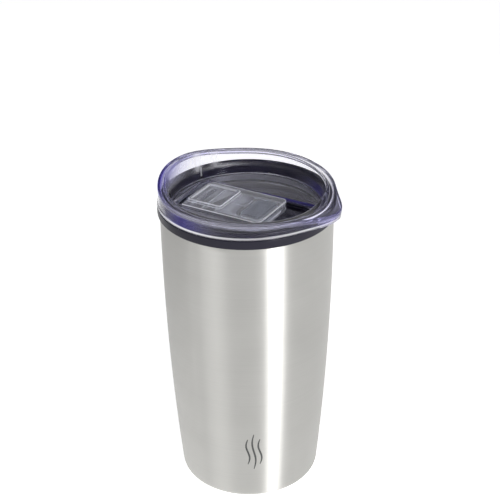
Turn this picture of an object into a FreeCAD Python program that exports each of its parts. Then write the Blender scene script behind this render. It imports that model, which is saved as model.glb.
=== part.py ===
import FreeCAD, Part
import math
import os

# Insulated tumbler with a push-on drinking lid.
#
# A steel outer wall carries a plastic liner with an air gap between them, and the liner's collar covers the
# steel's top edge. The lid is a clear moulding shaped like an upturned U all round: its inner wall plugs the
# liner's mouth and its skirt hangs outside the liner's rim. A slider in a channel across the lid's deck opens
# and closes the drinking slot.
#
# Millimetres. The origin is the centre of the foot pad's underside, +Z is up, and +X points at the drinking
# spout. All but one raised frame on the slider is symmetric about the plane y = 0.

# Steel outer wall: a shallow barrel arc from the collar down to a rounded foot
STEEL_TOP_RADIUS = 42.8
STEEL_TOP_Z = 151.0          # lower edge of the collar, where the steel starts to show
STEEL_TUCK = 2.3             # length of steel hidden in the collar's groove
STEEL_FOOT_RADIUS = 36.15    # where the side meets the foot's rounding
STEEL_BULGE = 1.77           # height of the side's arc over its chord
STEEL_WALL = 0.5
STEEL_BOTTOM_Z = 0.3
FOOT_ROUNDING = 4.0
FOOT_OPENING_RADIUS = 30.2   # the wall is turned in under the base as far as this

# Base plate and foot pad
BASE_PLATE_RADIUS = 31.9
BASE_PLATE_WALL = 0.5
BASE_PLATE_RIM = 1.5         # height of its turned-up rim
PAD_RADIUS = 29.8
PAD_GROOVES = (16.0, 22.0)   # middle radii of the two ring grooves in the pad's underside
PAD_GROOVE_WIDTH = 1.6
PAD_GROOVE_DEPTH = 0.3

# Liner: cup, neck and collar in one moulding
LINER_BOTTOM_Z = 7.0
LINER_FLOOR_Z = 9.0
LINER_FOOT_RADIUS = 33.0     # outside, at the bottom
LINER_CUP_RADIUS = 31.15     # inside, at the floor
LINER_SHOULDER_Z = 142.0
LINER_SHOULDER_RADIUS = 38.5  # inside, under the mouth
LINER_WALL = 1.8
LINER_FOOT_ROUNDING = 4.0
LINER_FLOOR_ROUNDING = 5.0
MOUTH_RADIUS = 40.5
MOUTH_BOTTOM_Z = 145.0
NECK_RADIUS = 42.25          # outside, inside the steel
NECK_RISE = 2.6              # height of the slope from the shoulder out to the neck
RIM_RADIUS = 42.4            # outside, under the lid's skirt
RIM_TOP_Z = 158.7
COLLAR_RADIUS = 44.0
COLLAR_STEP_Z = 155.5        # ledge that the lid's skirt comes down to
COLLAR_GROOVE_RADIUS = 42.87

# Seal ring between liner and steel
SEAL_BOTTOM_Z = 138.9
SEAL_TOP_Z = 141.2
SEAL_INNER_RADIUS = 40.28
SEAL_OUTER_RADIUS = 42.2
SEAL_LEDGE_RADIUS = 41.4     # rib on the liner that the ring sits on
SEAL_LEDGE_HEIGHT = 1.4
SEAL_GAP = 0.1

# Lid: plug, skirt and brim
PLUG_RADIUS = 40.2
PLUG_BOTTOM_Z = 146.0
PLUG_INNER_RADIUS = 36.9
PLUG_LEAD_IN = 0.2           # the plug is this much slimmer below the gasket
GASKET_GROOVE_RADIUS = 38.5
GASKET_GROOVE_BOTTOM_Z = 147.5
GASKET_GROOVE_TOP_Z = 151.0
DECK_TOP_Z = 153.0
DECK_THICKNESS = 1.8
DECK_RADIUS = 38.3           # foot of the round wall above the deck
SKIRT_RADIUS = 43.9          # at the bead along its lower edge
SKIRT_INNER_RADIUS = 42.75
SKIRT_BOTTOM_Z = 155.6
SKIRT_NECK = 0.4             # depth of the hollow between the bead and the brim's lip
BEAD_HEIGHT = 1.2
LIP_HEIGHT = 2.2             # how far the brim's lip comes down outside
BRIM_THICKNESS = 1.7
BRIM_RADIUS = 43.6
BRIM_INNER_RADIUS = 39.4
BRIM_FRONT_Z = 162.3         # brim's top beside the spout
BRIM_BACK_Z = 164.4          # brim's top at the sides and back
BRIM_DROP = 0.1              # the brim's inner edge is this much lower than its outer edge
EDGE = 0.6                   # size of the brim's small edge bevels

# Lid: spout lobe at the front and thumb tab at the back
SPOUT_REACH = 6.9
SPOUT_WIDTH_DEG = 17.0
SPOUT_INNER_REACH = 2.6
SPOUT_INNER_WIDTH_DEG = 26.0
SPOUT_DROP = 1.2
SPOUT_DROP_WIDTH_DEG = 24.0
SPOUT_UNDERSIDE_RISE = 1.0
TAB_HEIGHT = 3.5
TAB_WIDTH_DEG = 37.0
TAB_PULL_IN = 0.6
TAB_FLATNESS = 2.6           # above 2 the tab's top is flatter and its sides steeper than a bell curve
BRIM_RISE_DEG = 110          # angle from the spout at which the brim has risen to its back height
SPOUT_OVERHANG = 0.4         # how far the spout's lip stands out over the skirt below it
RIM_POINTS = 72              # points round each of the lid's free curves

# Lid: channel, drinking slot and vent
CHANNEL_HALF_WIDTH = 15.2
CHANNEL_FLOOR_Z = 147.7
CHANNEL_FRONT_X = 33.0
CHANNEL_BACK_X = -33.5
CHANNEL_WALL = 1.5
CHANNEL_CORNER = 2.5
RECESS_BACK_X = -36.2        # the channel's opening in the round wall above the deck
RECESS_TOP_Z = 159.2
RAIL_DEPTH = 0.8
RAIL_BOTTOM_Z = 149.7
RAIL_TOP_Z = 151.0
SLOT_X = 24.0
SLOT_LENGTH = 8.6
SLOT_WIDTH = 16.0
SLOT_CORNER = 3.0
VENT_X = -29.5
VENT_RADIUS = 1.0

# Gasket ring on the plug
GASKET_INNER_RADIUS = 38.7
GASKET_BODY_RADIUS = 39.75
GASKET_FIN_RADIUS = 40.38
GASKET_BOTTOM_Z = 147.7
GASKET_TOP_Z = 150.8

# Slider, drawn open: pushed back from the spout
SLIDER_TRAVEL = 17.0
SLIDER_GAP = 0.3
SLIDER_BACK_X = -28.6
SLIDER_FRONT_X = 15.2
SLIDER_BOTTOM_Z = 147.9
SLIDER_TOP_Z = 152.9
SLIDER_PLATE = 2.4           # thickness of its top plate
SLIDER_SIDE = 2.5            # thickness of its side runners
SLIDER_FRONT_WALL = 1.2
SLIDER_CORNER = 3.2
SLIDER_POCKET_CORNER = 1.5
THUMB_BACK_X = -28.2
THUMB_FRONT_X = -9.0
THUMB_HALF_WIDTH = 10.3
THUMB_TOP_Z = 154.2
THUMB_CORNER = 1.5
THUMB_EDGE = 1.3
THUMB_DISH = 0.9
SLIDER_RIB = 1.2
SLIDER_RIB_X = (-19.0, -12.0)  # the two ribs under the thumb block
SLIDER_RIB_LIFT = 1.2        # space between the ribs and the runners' underside
FRAME_HEIGHT = 0.3           # two square frames raised on the plate
FRAME_WIDTH = 0.8
FRAME_CORNER = 1.6
FRONT_FRAME = (1.8, 12.8, 0.0, 20.6)   # from x, to x, middle y, width
SIDE_FRAME = (-7.6, 0.6, 4.0, 12.0)

# Stopper pad under the slider
STOPPER_LENGTH = 12.4
STOPPER_WIDTH = 20.0
STOPPER_CORNER = 4.0
STOPPER_BOTTOM_Z = 147.8
STOPPER_HOLDER = 1.2         # wall that holds the stopper
HOLDER_LIFT = 0.7            # the stopper stands out under its holder by about this much

JOINED = 0.5                 # how far pieces of one moulding run into each other
BEYOND = 4.0                 # how far a cutting block runs past what it cuts


def vector(radius, z):
    """A point of a turned profile, in the plane y = 0."""
    return FreeCAD.Vector(radius, 0, z)


def turned(edges):
    """The solid made by turning a closed profile about the tumbler's axis."""
    face = Part.Face(Part.Wire(edges))
    return face.revolve(FreeCAD.Vector(0, 0, 0), FreeCAD.Vector(0, 0, 1), 360)


def rounded_outline(corners):
    """Edges of a closed outline from (radius, z, rounding) corners."""
    count = len(corners)
    points = [vector(corner[0], corner[1]) for corner in corners]
    starts, ends, arcs = [], [], []
    for i, corner in enumerate(corners):
        here, rounding = points[i], corner[2]
        if rounding == 0:
            starts.append(here)
            ends.append(here)
            arcs.append(None)
            continue
        back = (points[i - 1] - here).normalize()
        ahead = (points[(i + 1) % count] - here).normalize()
        half_angle = back.getAngle(ahead) / 2
        first = here + back * (rounding / math.tan(half_angle))
        last = here + ahead * (rounding / math.tan(half_angle))
        centre = here + (back + ahead).normalize() * (rounding / math.sin(half_angle))
        middle = centre + (here - centre).normalize() * rounding
        starts.append(first)
        ends.append(last)
        arcs.append(Part.Arc(first, middle, last).toShape())
    edges = []
    for i in range(count):
        if arcs[i]:
            edges.append(arcs[i])
        following = starts[(i + 1) % count]
        if (following - ends[i]).Length > 1e-6:
            edges.append(Part.LineSegment(ends[i], following).toShape())
    return edges


def box(x0, x1, y0, y1, z0, z1):
    """A box between six coordinates."""
    return Part.makeBox(x1 - x0, y1 - y0, z1 - z0, FreeCAD.Vector(x0, y0, z0))


def rounded_block(x0, x1, half_width, z0, z1, corner):
    """A block centred on y = 0 with rounded upright corners."""
    block = box(x0, x1, -half_width, half_width, z0, z1)
    upright = [edge for edge in block.Edges if abs(edge.tangentAt(edge.FirstParameter).z) > 0.9]
    return block.makeFillet(corner, upright)


def side_edges(inset):
    """The steel wall's profile at a depth below its outer surface, from the foot to the top edge."""
    height = STEEL_TOP_Z - STEEL_BOTTOM_Z - FOOT_ROUNDING
    lean = math.atan((STEEL_TOP_RADIUS - STEEL_FOOT_RADIUS) / height)
    arc_angle = 2 * math.atan(2 * STEEL_BULGE / math.hypot(height, STEEL_TOP_RADIUS - STEEL_FOOT_RADIUS))
    tilt = lean + arc_angle
    rounding = FOOT_ROUNDING - inset
    centre = vector(STEEL_FOOT_RADIUS - FOOT_ROUNDING * math.cos(tilt), STEEL_BOTTOM_Z + FOOT_ROUNDING)
    foot = centre + vector(rounding * math.cos(tilt), -rounding * math.sin(tilt))
    top = vector(STEEL_TOP_RADIUS - inset, STEEL_TOP_Z)
    chord_middle = (vector(STEEL_FOOT_RADIUS, centre.z) + vector(STEEL_TOP_RADIUS, STEEL_TOP_Z)) * 0.5
    side_middle = chord_middle + vector(math.cos(lean), -math.sin(lean)) * (STEEL_BULGE - inset)
    under = vector(centre.x, STEEL_BOTTOM_Z + inset)
    half_turn = (tilt + math.pi / 2) / 2
    corner_middle = centre + vector(math.cos(half_turn), -math.sin(half_turn)) * rounding
    return [
        Part.LineSegment(vector(FOOT_OPENING_RADIUS, under.z), under).toShape(),
        Part.Arc(under, corner_middle, foot).toShape(),
        Part.Arc(foot, side_middle, top).toShape(),
        Part.LineSegment(top, top + vector(0, STEEL_TUCK)).toShape(),
    ]


def outer_shell():
    """Steel outer wall, turned in under the base."""
    outside, inside = side_edges(0), side_edges(STEEL_WALL)
    top_z = STEEL_TOP_Z + STEEL_TUCK
    top_edge = Part.LineSegment(vector(STEEL_TOP_RADIUS, top_z), vector(STEEL_TOP_RADIUS - STEEL_WALL, top_z))
    low_z = STEEL_BOTTOM_Z
    hem_edge = Part.LineSegment(vector(FOOT_OPENING_RADIUS, low_z + STEEL_WALL),
                                vector(FOOT_OPENING_RADIUS, low_z))
    return turned(outside + [top_edge.toShape()] + inside[::-1] + [hem_edge.toShape()])


def base_plate():
    """Pressed steel plate with a turned-up rim, welded to the turned-in foot."""
    bottom = STEEL_BOTTOM_Z + STEEL_WALL
    inner_radius = BASE_PLATE_RADIUS - BASE_PLATE_WALL
    return turned(rounded_outline([
        (0, bottom, 0),
        (BASE_PLATE_RADIUS, bottom, 0.8),
        (BASE_PLATE_RADIUS, bottom + BASE_PLATE_RIM, 0),
        (inner_radius, bottom + BASE_PLATE_RIM, 0),
        (inner_radius, bottom + BASE_PLATE_WALL, 0.3),
        (0, bottom + BASE_PLATE_WALL, 0),
    ]))


def foot_pad():
    """Non-slip rubber disc stuck under the base plate, standing a little proud of the steel."""
    top = STEEL_BOTTOM_Z + STEEL_WALL
    pad = turned(rounded_outline([
        (0, 0, 0),
        (PAD_RADIUS, 0, 0.3),
        (PAD_RADIUS, top, 0),
        (0, top, 0),
    ]))
    for radius in PAD_GROOVES:
        ring = turned(rounded_outline([
            (radius - PAD_GROOVE_WIDTH / 2, -1, 0),
            (radius + PAD_GROOVE_WIDTH / 2, -1, 0),
            (radius + PAD_GROOVE_WIDTH / 2, PAD_GROOVE_DEPTH, 0.2),
            (radius - PAD_GROOVE_WIDTH / 2, PAD_GROOVE_DEPTH, 0.2),
        ]))
        pad = pad.cut(ring)
    return pad


def inner_liner():
    """Plastic liner: the cup, the neck that fits inside the steel, and the collar that covers its edge."""
    groove_top = STEEL_TOP_Z + STEEL_TUCK
    shoulder_outside = LINER_SHOULDER_RADIUS + LINER_WALL
    slope = (shoulder_outside - LINER_FOOT_RADIUS) / (LINER_SHOULDER_Z - LINER_BOTTOM_Z)

    def outside_at(z):
        return LINER_FOOT_RADIUS + slope * (z - LINER_BOTTOM_Z)

    ledge_high = SEAL_BOTTOM_Z - SEAL_GAP
    ledge_low = ledge_high - SEAL_LEDGE_HEIGHT
    return turned(rounded_outline([
        (0, LINER_BOTTOM_Z, 0),
        (LINER_FOOT_RADIUS, LINER_BOTTOM_Z, LINER_FOOT_ROUNDING),
        (outside_at(ledge_low), ledge_low, 0),
        (SEAL_LEDGE_RADIUS, ledge_low + 0.4, 0),
        (SEAL_LEDGE_RADIUS, ledge_high, 0),
        (outside_at(ledge_high), ledge_high, 0),
        (shoulder_outside, LINER_SHOULDER_Z, 0),
        (NECK_RADIUS, LINER_SHOULDER_Z + NECK_RISE, 0),
        (NECK_RADIUS, groove_top, 0),
        (COLLAR_GROOVE_RADIUS, groove_top, 0),
        (COLLAR_GROOVE_RADIUS, STEEL_TOP_Z, 0),
        (COLLAR_RADIUS, STEEL_TOP_Z, 0.7),
        (COLLAR_RADIUS, COLLAR_STEP_Z, 0.5),
        (RIM_RADIUS, COLLAR_STEP_Z, 0),
        (RIM_RADIUS, RIM_TOP_Z, 0.5),
        (MOUTH_RADIUS, RIM_TOP_Z, 0.7),
        (MOUTH_RADIUS, MOUTH_BOTTOM_Z, 1.0),
        (LINER_SHOULDER_RADIUS, LINER_SHOULDER_Z, 1.0),
        (LINER_CUP_RADIUS, LINER_FLOOR_Z, LINER_FLOOR_ROUNDING),
        (0, LINER_FLOOR_Z, 0),
    ]))


def shell_seal():
    """Rubber ring that keeps drink and washing water out of the air gap."""
    return turned(rounded_outline([
        (SEAL_INNER_RADIUS, SEAL_BOTTOM_Z, 0.5),
        (SEAL_OUTER_RADIUS, SEAL_BOTTOM_Z, 0.7),
        (SEAL_OUTER_RADIUS, SEAL_TOP_Z, 0.7),
        (SEAL_INNER_RADIUS, SEAL_TOP_Z, 0.5),
    ]))


def swell(angle, width, power=2.0):
    """1 at angle 0, falling smoothly to 0 beyond about twice the width. Degrees."""
    return math.exp(-((abs(angle) / width) ** power))


def spout(angle):
    """How much of the spout's reach the lid has at an angle from +X, from 0 to 1."""
    return swell(angle, SPOUT_WIDTH_DEG)


def tab(angle):
    """How much of the thumb tab's height the brim has at an angle from +X, from 0 to 1."""
    return swell(180 - abs(angle), TAB_WIDTH_DEG, TAB_FLATNESS)


def brim_top(angle):
    """Height of the brim: low at the spout, rising to the sides, highest at the thumb tab."""
    rise = (1 - math.cos(math.pi * min(abs(angle) / BRIM_RISE_DEG, 1))) / 2
    drop = SPOUT_DROP * swell(angle, SPOUT_DROP_WIDTH_DEG)
    return BRIM_FRONT_Z + (BRIM_BACK_Z - BRIM_FRONT_Z) * rise - drop + TAB_HEIGHT * tab(angle)


def brim_outer(angle):
    return BRIM_RADIUS + SPOUT_REACH * spout(angle) - TAB_PULL_IN * tab(angle)


def brim_inner(angle):
    return BRIM_INNER_RADIUS - SPOUT_INNER_REACH * swell(angle, SPOUT_INNER_WIDTH_DEG)


def skirt_outer(angle):
    return SKIRT_RADIUS + (BRIM_RADIUS + SPOUT_REACH - SKIRT_RADIUS - SPOUT_OVERHANG) * spout(angle)


def skirt_bottom(angle):
    return SKIRT_BOTTOM_Z + SPOUT_UNDERSIDE_RISE * spout(angle)


def ring_edge(radius, z):
    """A closed edge round the lid. Radius and z are numbers, or functions of the angle from +X."""
    if not callable(radius) and not callable(z):
        return Part.makeCircle(radius, FreeCAD.Vector(0, 0, z), FreeCAD.Vector(0, 0, 1))
    points = []
    for i in range(RIM_POINTS):
        degrees = 360.0 * i / RIM_POINTS
        signed = degrees if degrees <= 180 else degrees - 360
        r = radius(signed) if callable(radius) else radius
        height = z(signed) if callable(z) else z
        points.append(FreeCAD.Vector(
            r * math.cos(math.radians(degrees)), r * math.sin(math.radians(degrees)), height))
    curve = Part.BSplineCurve()
    curve.interpolate(Points=points, PeriodicFlag=True)
    return curve.toShape()


def lid_moulding():
    """Deck, plug, skirt and brim as one solid, from the closed edges that its section's corners follow."""
    deck_bottom = DECK_TOP_Z - DECK_THICKNESS
    corners = [
        (PLUG_INNER_RADIUS, deck_bottom),
        (PLUG_INNER_RADIUS, PLUG_BOTTOM_Z + 0.3),
        (PLUG_INNER_RADIUS + 0.3, PLUG_BOTTOM_Z),
        (PLUG_RADIUS - PLUG_LEAD_IN - 0.4, PLUG_BOTTOM_Z),
        (PLUG_RADIUS - PLUG_LEAD_IN, PLUG_BOTTOM_Z + 0.4),
        (PLUG_RADIUS - PLUG_LEAD_IN, GASKET_GROOVE_BOTTOM_Z),
        (GASKET_GROOVE_RADIUS, GASKET_GROOVE_BOTTOM_Z),
        (GASKET_GROOVE_RADIUS, GASKET_GROOVE_TOP_Z),
        (PLUG_RADIUS, GASKET_GROOVE_TOP_Z),
        (PLUG_RADIUS, lambda a: brim_top(a) - BRIM_THICKNESS - 0.3),
        (PLUG_RADIUS + 0.3, lambda a: brim_top(a) - BRIM_THICKNESS),
        (SKIRT_INNER_RADIUS - 0.6, lambda a: brim_top(a) - BRIM_THICKNESS),
        (SKIRT_INNER_RADIUS - 0.3, lambda a: brim_top(a) - BRIM_THICKNESS - 0.4),
        (SKIRT_INNER_RADIUS, SKIRT_BOTTOM_Z + 0.4),
        (SKIRT_INNER_RADIUS + 0.2, SKIRT_BOTTOM_Z),
        (lambda a: skirt_outer(a) - 0.4, skirt_bottom),
        (skirt_outer, lambda a: skirt_bottom(a) + 0.4),
        (skirt_outer, lambda a: skirt_bottom(a) + BEAD_HEIGHT - 0.2),
        (lambda a: skirt_outer(a) - SKIRT_NECK, lambda a: skirt_bottom(a) + BEAD_HEIGHT + 0.3),
        (lambda a: skirt_outer(a) - SKIRT_NECK, lambda a: brim_top(a) - LIP_HEIGHT - 0.4),
        (lambda a: brim_outer(a) - 0.05, lambda a: brim_top(a) - LIP_HEIGHT),
        (brim_outer, lambda a: brim_top(a) - EDGE),
        (lambda a: brim_outer(a) - EDGE * 0.3, lambda a: brim_top(a) - EDGE * 0.3),
        (lambda a: brim_outer(a) - EDGE, brim_top),
        (lambda a: brim_inner(a) + EDGE, lambda a: brim_top(a) - BRIM_DROP),
        (lambda a: brim_inner(a) + EDGE * 0.3, lambda a: brim_top(a) - BRIM_DROP - EDGE * 0.3),
        (brim_inner, lambda a: brim_top(a) - BRIM_DROP - EDGE),
        (DECK_RADIUS, DECK_TOP_Z + 0.7),
        (DECK_RADIUS - 0.2, DECK_TOP_Z + 0.2),
        (DECK_RADIUS - 0.7, DECK_TOP_Z),
    ]
    rings = [ring_edge(radius, z) for radius, z in corners]
    faces = []
    for i in range(len(corners) - 1):
        if any(callable(value) for value in corners[i] + corners[i + 1]):
            faces.append(Part.makeRuledSurface(rings[i], rings[i + 1]))
        else:
            line = Part.LineSegment(vector(*corners[i]), vector(*corners[i + 1])).toShape()
            faces.append(line.revolve(FreeCAD.Vector(0, 0, 0), FreeCAD.Vector(0, 0, 1), 360))
    faces.append(Part.Face(Part.Wire(rings[0])))
    faces.append(Part.Face(Part.Wire(rings[-1])))
    shell = Part.Shell(faces)
    shell.sewShape()
    solid = Part.Solid(shell)
    if solid.Volume < 0:
        solid.reverse()
    return solid


def lid():
    """Clear lid with the slider's channel, its rails, the drinking slot and a small vent."""
    half, wall = CHANNEL_HALF_WIDTH, CHANNEL_WALL
    trough_bottom = CHANNEL_FLOOR_Z - wall
    trough = rounded_block(CHANNEL_BACK_X - wall, CHANNEL_FRONT_X + wall, half + wall,
                           trough_bottom, DECK_TOP_Z - JOINED, CHANNEL_CORNER + wall)
    inside_plug = Part.makeCylinder(PLUG_INNER_RADIUS + JOINED, DECK_TOP_Z - trough_bottom,
                                    FreeCAD.Vector(0, 0, trough_bottom))
    trough = trough.common(inside_plug)
    hollow = rounded_block(CHANNEL_BACK_X, CHANNEL_FRONT_X, half, CHANNEL_FLOOR_Z, DECK_TOP_Z + BEYOND,
                           CHANNEL_CORNER)
    recess = box(RECESS_BACK_X, 0, -half, half, DECK_TOP_Z - JOINED, RECESS_TOP_Z)
    slot = rounded_block(SLOT_X - SLOT_LENGTH / 2, SLOT_X + SLOT_LENGTH / 2, SLOT_WIDTH / 2,
                         CHANNEL_FLOOR_Z - BEYOND, CHANNEL_FLOOR_Z + BEYOND, SLOT_CORNER)
    vent = Part.makeCylinder(VENT_RADIUS, 2 * BEYOND, FreeCAD.Vector(VENT_X, 0, CHANNEL_FLOOR_Z - BEYOND))
    shape = lid_moulding().fuse(trough)
    for opening in (hollow, recess, slot, vent):
        shape = shape.cut(opening)
    for side in (-1, 1):
        inner, outer = sorted((side * (half - RAIL_DEPTH), side * (half + JOINED)))
        shape = shape.fuse(box(CHANNEL_BACK_X + CHANNEL_CORNER, CHANNEL_FRONT_X - CHANNEL_CORNER,
                               inner, outer, RAIL_BOTTOM_Z, RAIL_TOP_Z))
    return shape


def lid_gasket():
    """Silicone ring with two fins, in the plug's groove."""
    middle = (GASKET_BOTTOM_Z + GASKET_TOP_Z) / 2
    return turned(rounded_outline([
        (GASKET_INNER_RADIUS, GASKET_BOTTOM_Z, 0),
        (GASKET_BODY_RADIUS, GASKET_BOTTOM_Z, 0),
        (GASKET_FIN_RADIUS, GASKET_BOTTOM_Z + 0.7, 0),
        (GASKET_FIN_RADIUS, GASKET_BOTTOM_Z + 1.0, 0),
        (GASKET_BODY_RADIUS, middle - 0.15, 0),
        (GASKET_BODY_RADIUS, middle + 0.15, 0),
        (GASKET_FIN_RADIUS, GASKET_TOP_Z - 1.0, 0),
        (GASKET_FIN_RADIUS, GASKET_TOP_Z - 0.7, 0),
        (GASKET_BODY_RADIUS, GASKET_TOP_Z, 0),
        (GASKET_INNER_RADIUS, GASKET_TOP_Z, 0),
    ]))


def stopper_x():
    """Middle of the stopper with the slider open: one travel back from the drinking slot."""
    return SLOT_X - SLIDER_TRAVEL


def slider():
    """Clear slider: a plate on two runners, with a raised thumb block and a holder for the stopper."""
    half = CHANNEL_HALF_WIDTH - SLIDER_GAP
    plate_bottom = SLIDER_TOP_Z - SLIDER_PLATE
    shape = box(SLIDER_BACK_X, SLIDER_FRONT_X, -half, half, SLIDER_BOTTOM_Z, SLIDER_TOP_Z)
    front_corners = [edge for edge in shape.Edges
                     if abs(edge.tangentAt(edge.FirstParameter).z) > 0.9
                     and edge.CenterOfMass.x > SLIDER_FRONT_X - 1]
    shape = shape.makeFillet(SLIDER_CORNER, front_corners)
    pocket = rounded_block(SLIDER_BACK_X + SLIDER_SIDE, SLIDER_FRONT_X - SLIDER_FRONT_WALL,
                           half - SLIDER_SIDE, SLIDER_BOTTOM_Z - BEYOND, plate_bottom, SLIDER_POCKET_CORNER)
    shape = shape.cut(pocket)
    groove_low = RAIL_BOTTOM_Z - SLIDER_GAP
    groove_high = RAIL_TOP_Z + SLIDER_GAP
    for side in (-1, 1):
        inner, outer = sorted((side * (half - RAIL_DEPTH), side * (half + BEYOND)))
        groove = box(SLIDER_BACK_X - BEYOND, SLIDER_FRONT_X + BEYOND, inner, outer, groove_low, groove_high)
        shape = shape.cut(groove)
    thumb = rounded_block(THUMB_BACK_X, THUMB_FRONT_X, THUMB_HALF_WIDTH, SLIDER_TOP_Z - JOINED, THUMB_TOP_Z,
                          THUMB_CORNER)
    dish = rounded_block(THUMB_BACK_X + THUMB_EDGE, THUMB_FRONT_X - THUMB_EDGE, THUMB_HALF_WIDTH - THUMB_EDGE,
                         THUMB_TOP_Z - THUMB_DISH, THUMB_TOP_Z + BEYOND, THUMB_CORNER - JOINED)
    shape = shape.fuse(thumb).cut(dish)
    holder = stopper_seat(STOPPER_HOLDER, SLIDER_BOTTOM_Z + HOLDER_LIFT, plate_bottom + JOINED)
    shape = shape.fuse(holder.cut(stopper_seat(0, SLIDER_BOTTOM_Z - BEYOND, plate_bottom)))
    rib_half = half - SLIDER_SIDE + JOINED
    for x in SLIDER_RIB_X:
        shape = shape.fuse(box(x, x + SLIDER_RIB, -rib_half, rib_half,
                               SLIDER_BOTTOM_Z + SLIDER_RIB_LIFT, plate_bottom + JOINED))
    for raised in (FRONT_FRAME, SIDE_FRAME):
        shape = shape.fuse(raised_frame(*raised))
    return shape.removeSplitter()


def raised_frame(x0, x1, middle_y, width):
    """A low square frame moulded on the slider's plate."""
    bottom, top = SLIDER_TOP_Z - JOINED, SLIDER_TOP_Z + FRAME_HEIGHT
    outside = rounded_block(x0, x1, width / 2, bottom, top, FRAME_CORNER)
    inside = rounded_block(x0 + FRAME_WIDTH, x1 - FRAME_WIDTH, width / 2 - FRAME_WIDTH, bottom - BEYOND,
                           top + BEYOND, FRAME_CORNER - FRAME_WIDTH)
    frame = outside.cut(inside)
    frame.translate(FreeCAD.Vector(0, middle_y, 0))
    return frame


def stopper_seat(margin, z0, z1):
    """The stopper's block with a margin round it."""
    middle = stopper_x()
    return rounded_block(middle - STOPPER_LENGTH / 2 - margin, middle + STOPPER_LENGTH / 2 + margin,
                         STOPPER_WIDTH / 2 + margin, z0, z1, STOPPER_CORNER + margin)


def slider_stopper():
    """Silicone pad that covers the drinking slot when the slider is pushed forward."""
    return stopper_seat(0, STOPPER_BOTTOM_Z, SLIDER_TOP_Z - SLIDER_PLATE)


os.makedirs("parts", exist_ok=True)
for make in (outer_shell, base_plate, foot_pad, inner_liner, shell_seal,
             lid, lid_gasket, slider, slider_stopper):
    shape = make()
    name = make.__name__
    if not shape.isValid() or len(shape.Solids) != 1:
        print(name, "valid:", shape.isValid(), "solids:", len(shape.Solids))
    shape.exportStep("parts/" + name + ".step")
    size = shape.BoundBox
    print(name, "volume %.0f mm3" % shape.Volume, "z %.2f to %.2f" % (size.ZMin, size.ZMax))
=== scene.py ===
"""Looks of an insulated tumbler with a clear sliding lid.

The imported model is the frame. Smoother pieces stand for its moulded and spun parts, built from sections whose
corners are rounded, and every surface gets a node-based material. Sizes named below are in millimetres.
"""
import math

import bmesh
import bpy
import numpy as np
from mathutils import Matrix, Vector


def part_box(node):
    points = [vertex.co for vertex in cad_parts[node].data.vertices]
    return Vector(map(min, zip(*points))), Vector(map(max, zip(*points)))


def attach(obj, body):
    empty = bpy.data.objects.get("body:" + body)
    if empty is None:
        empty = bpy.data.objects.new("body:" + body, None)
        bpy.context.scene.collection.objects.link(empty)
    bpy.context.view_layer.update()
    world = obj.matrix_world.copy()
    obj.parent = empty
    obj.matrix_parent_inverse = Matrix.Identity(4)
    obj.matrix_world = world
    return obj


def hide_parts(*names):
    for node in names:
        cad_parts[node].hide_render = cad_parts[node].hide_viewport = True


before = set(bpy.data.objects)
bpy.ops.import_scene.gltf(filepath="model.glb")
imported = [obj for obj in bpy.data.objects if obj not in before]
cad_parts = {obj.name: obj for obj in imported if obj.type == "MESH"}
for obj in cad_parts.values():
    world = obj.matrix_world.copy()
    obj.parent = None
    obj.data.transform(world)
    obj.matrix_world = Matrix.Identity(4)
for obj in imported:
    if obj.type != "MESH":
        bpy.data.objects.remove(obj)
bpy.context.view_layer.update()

MM = 0.001


def box_mm(node):
    """Lowest and highest corner of a CAD node, in millimetres."""
    low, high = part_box(node)
    return low / MM, high / MM


STEEL_LOW, STEEL_HIGH = box_mm("outer_shell")
LINER_LOW, LINER_HIGH = box_mm("inner_liner")
LID_LOW, _ = box_mm("lid")
SLIDER_LOW, SLIDER_HIGH = box_mm("slider")

# Steel wall
STEEL_TUCK = 2.3             # hidden in the collar's groove
STEEL_TOP_Z = STEEL_HIGH.z - STEEL_TUCK
STEEL_TOP_RADIUS = 42.8
STEEL_FOOT_RADIUS = 36.15
STEEL_BULGE = 1.77
STEEL_WALL = 0.5
FOOT_ROUNDING = 4.0
FOOT_OPENING_RADIUS = 30.2

# Liner
COLLAR_RADIUS = 44.0
RIM_HEIGHT = 3.2             # how far the rim stands up from the collar's ledge
COLLAR_STEP_Z = LINER_HIGH.z - RIM_HEIGHT
COLLAR_GROOVE_RADIUS = 42.87
RIM_RADIUS = 42.4
MOUTH_RADIUS = 40.5
MOUTH_BOTTOM_Z = 145.0
NECK_RADIUS = 42.25
NECK_RISE = 2.6              # height of the slope from the shoulder out to the neck
SHOULDER_Z = 142.0
SHOULDER_RADIUS = 38.5
LINER_WALL = 1.8
LINER_FOOT_RADIUS = 33.0
LINER_CUP_RADIUS = 31.15
LINER_FLOOR = 2.0            # thickness
LINER_FLOOR_Z = LINER_LOW.z + LINER_FLOOR
LINER_FOOT_ROUNDING, LINER_FLOOR_ROUNDING = 4.0, 5.0
LINER_MIDDLE = 6.0           # radius of the flat middle of its floor

# Lid
PLUG_RADIUS = 40.2
PLUG_INNER_RADIUS = 36.9
PLUG_LEAD_IN = 0.2           # the plug is this much slimmer below the gasket
PLUG_BOTTOM_Z = LID_LOW.z
GROOVE_RADIUS = 38.5
GROOVE_LOW_Z, GROOVE_HIGH_Z = 147.5, 151.0
DECK_TOP_Z = 153.0
DECK_BOTTOM_Z = 151.2
DECK_RADIUS = 38.3
DECK_RIM_INSET = 1.1         # from the foot of the round wall to the flat deck
SKIRT_RADIUS = 43.9
SKIRT_INNER_RADIUS = 42.75
SKIRT_DRAFT = 0.3            # the skirt's inside is this much narrower at its top
SKIRT_NECK = 0.4             # between the brim's lip and the bead at the skirt's lower edge
BEAD_HEIGHT = 1.2
LIP_HEIGHT = 2.2
SKIRT_BOTTOM_Z = 155.6
BRIM_THICKNESS = 1.7
BRIM_RADIUS = 43.6
BRIM_INNER_RADIUS = 39.4
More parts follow.
